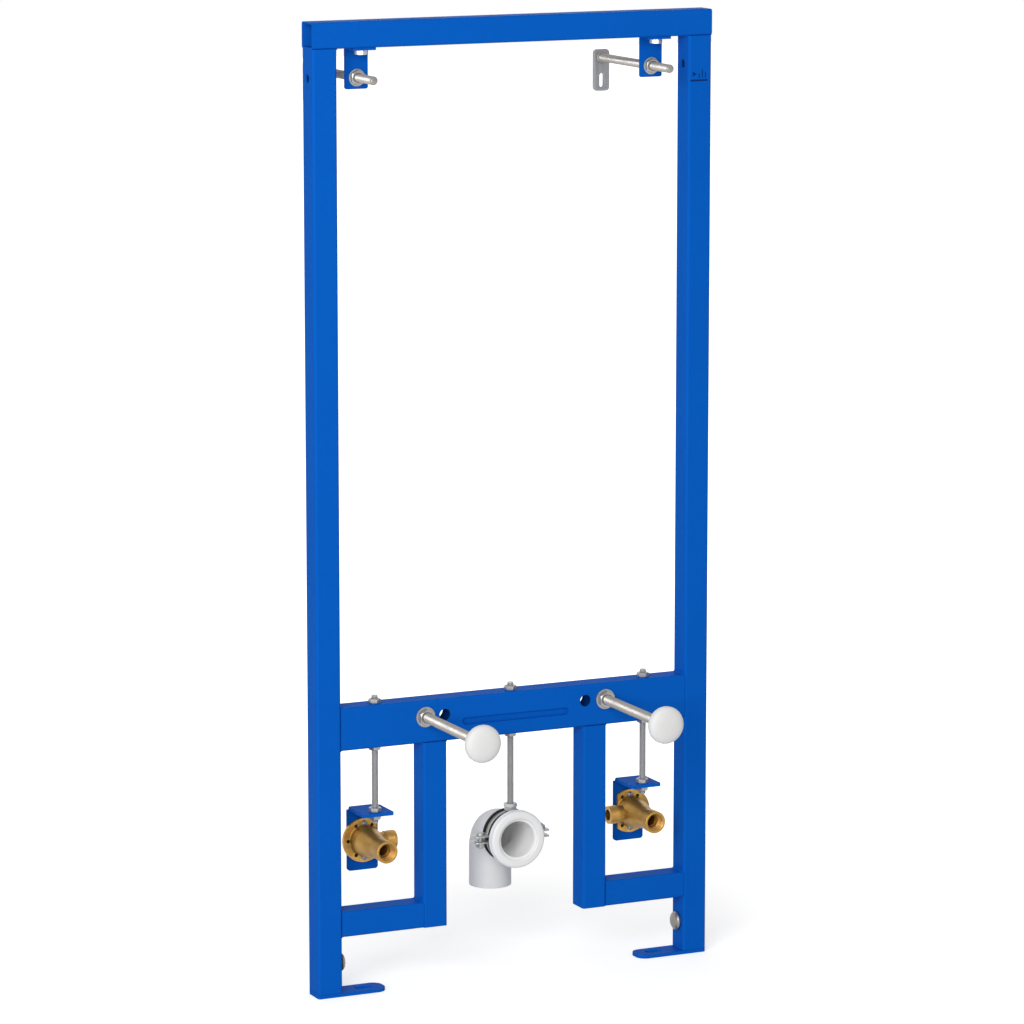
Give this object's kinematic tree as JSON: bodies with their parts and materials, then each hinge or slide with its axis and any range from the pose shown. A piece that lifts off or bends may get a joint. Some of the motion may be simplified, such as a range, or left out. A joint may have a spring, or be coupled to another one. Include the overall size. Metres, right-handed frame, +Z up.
{
  "type": "bidet installation frame",
  "caption": "Upright steel frame that carries a wall-hung bidet: blue tubes on sliding feet, fixing rods, brass tap fittings and a clamped waste bend.",
  "frame": {"origin": "under the left foot plate, on the left leg's axis: the foot rests on the floor there", "axes": "+Z up the legs, +X from the left leg to the right one, +Y back to the wall"},
  "size_m": [0.5, 0.326, 1.12],
  "materials": {
    "blue_paint": "satin powder coat",
    "zinc_plate": "bright zinc plate",
    "brass": "raw cast brass",
    "cap_plastic": "white moulded",
    "pipe_plastic": "pale grey",
    "collar_plastic": "white",
    "rubber": "black"
  },
  "bodies": {
    "left_foot": {"left_foot": "blue_paint"},
    "frame": {"centre_hanger_nuts": "zinc_plate", "centre_hanger_rod": "zinc_plate", "clamp_lining": "rubber", "clamp_lower": "zinc_plate", "clamp_screws": "zinc_plate", "clamp_upper": "zinc_plate", "crossbar": "blue_paint", "left_anchor_nuts": "zinc_plate", "left_bracket_bolt": "zinc_plate", "left_clamp_bolt": "zinc_plate", "left_fixing_nuts": "zinc_plate", "left_fixing_rod": "zinc_plate", "left_hanger_nuts": "zinc_plate", "left_hanger_rod": "zinc_plate", "left_inner_leg": "blue_paint", "left_leg": "blue_paint", "left_lower_rail": "blue_paint", "left_rod_cap": "cap_plastic", "left_tap_bracket": "blue_paint", "left_tap_elbow": "brass", "left_tap_screws": "zinc_plate", "left_wall_anchor": "zinc_plate", "left_wall_bracket": "blue_paint", "right_anchor_nuts": "zinc_plate", "right_bracket_bolt": "zinc_plate", "right_clamp_bolt": "zinc_plate", "right_fixing_nuts": "zinc_plate", "right_fixing_rod": "zinc_plate", "right_hanger_nuts": "zinc_plate", "right_hanger_rod": "zinc_plate", "right_inner_leg": "blue_paint", "right_leg": "blue_paint", "right_lower_rail": "blue_paint", "right_rod_cap": "cap_plastic", "right_tap_bracket": "blue_paint", "right_tap_elbow": "brass", "right_tap_screws": "zinc_plate", "right_wall_anchor": "zinc_plate", "right_wall_bracket": "blue_paint", "top_rail": "blue_paint", "waste_bend": "pipe_plastic", "waste_collar": "collar_plastic"},
    "right_foot": {"right_foot": "blue_paint"}
  },
  "joints": [
    {"name": "left_foot_slide", "type": "slide", "parent": "left_foot", "child": "frame", "axis": [0, 0, 1], "range_m": [0, 0.2]},
    {"name": "right_foot_slide", "type": "slide", "parent": "frame", "child": "right_foot", "axis": [0, 0, -1], "range_m": [0, 0.2]}
  ]
}
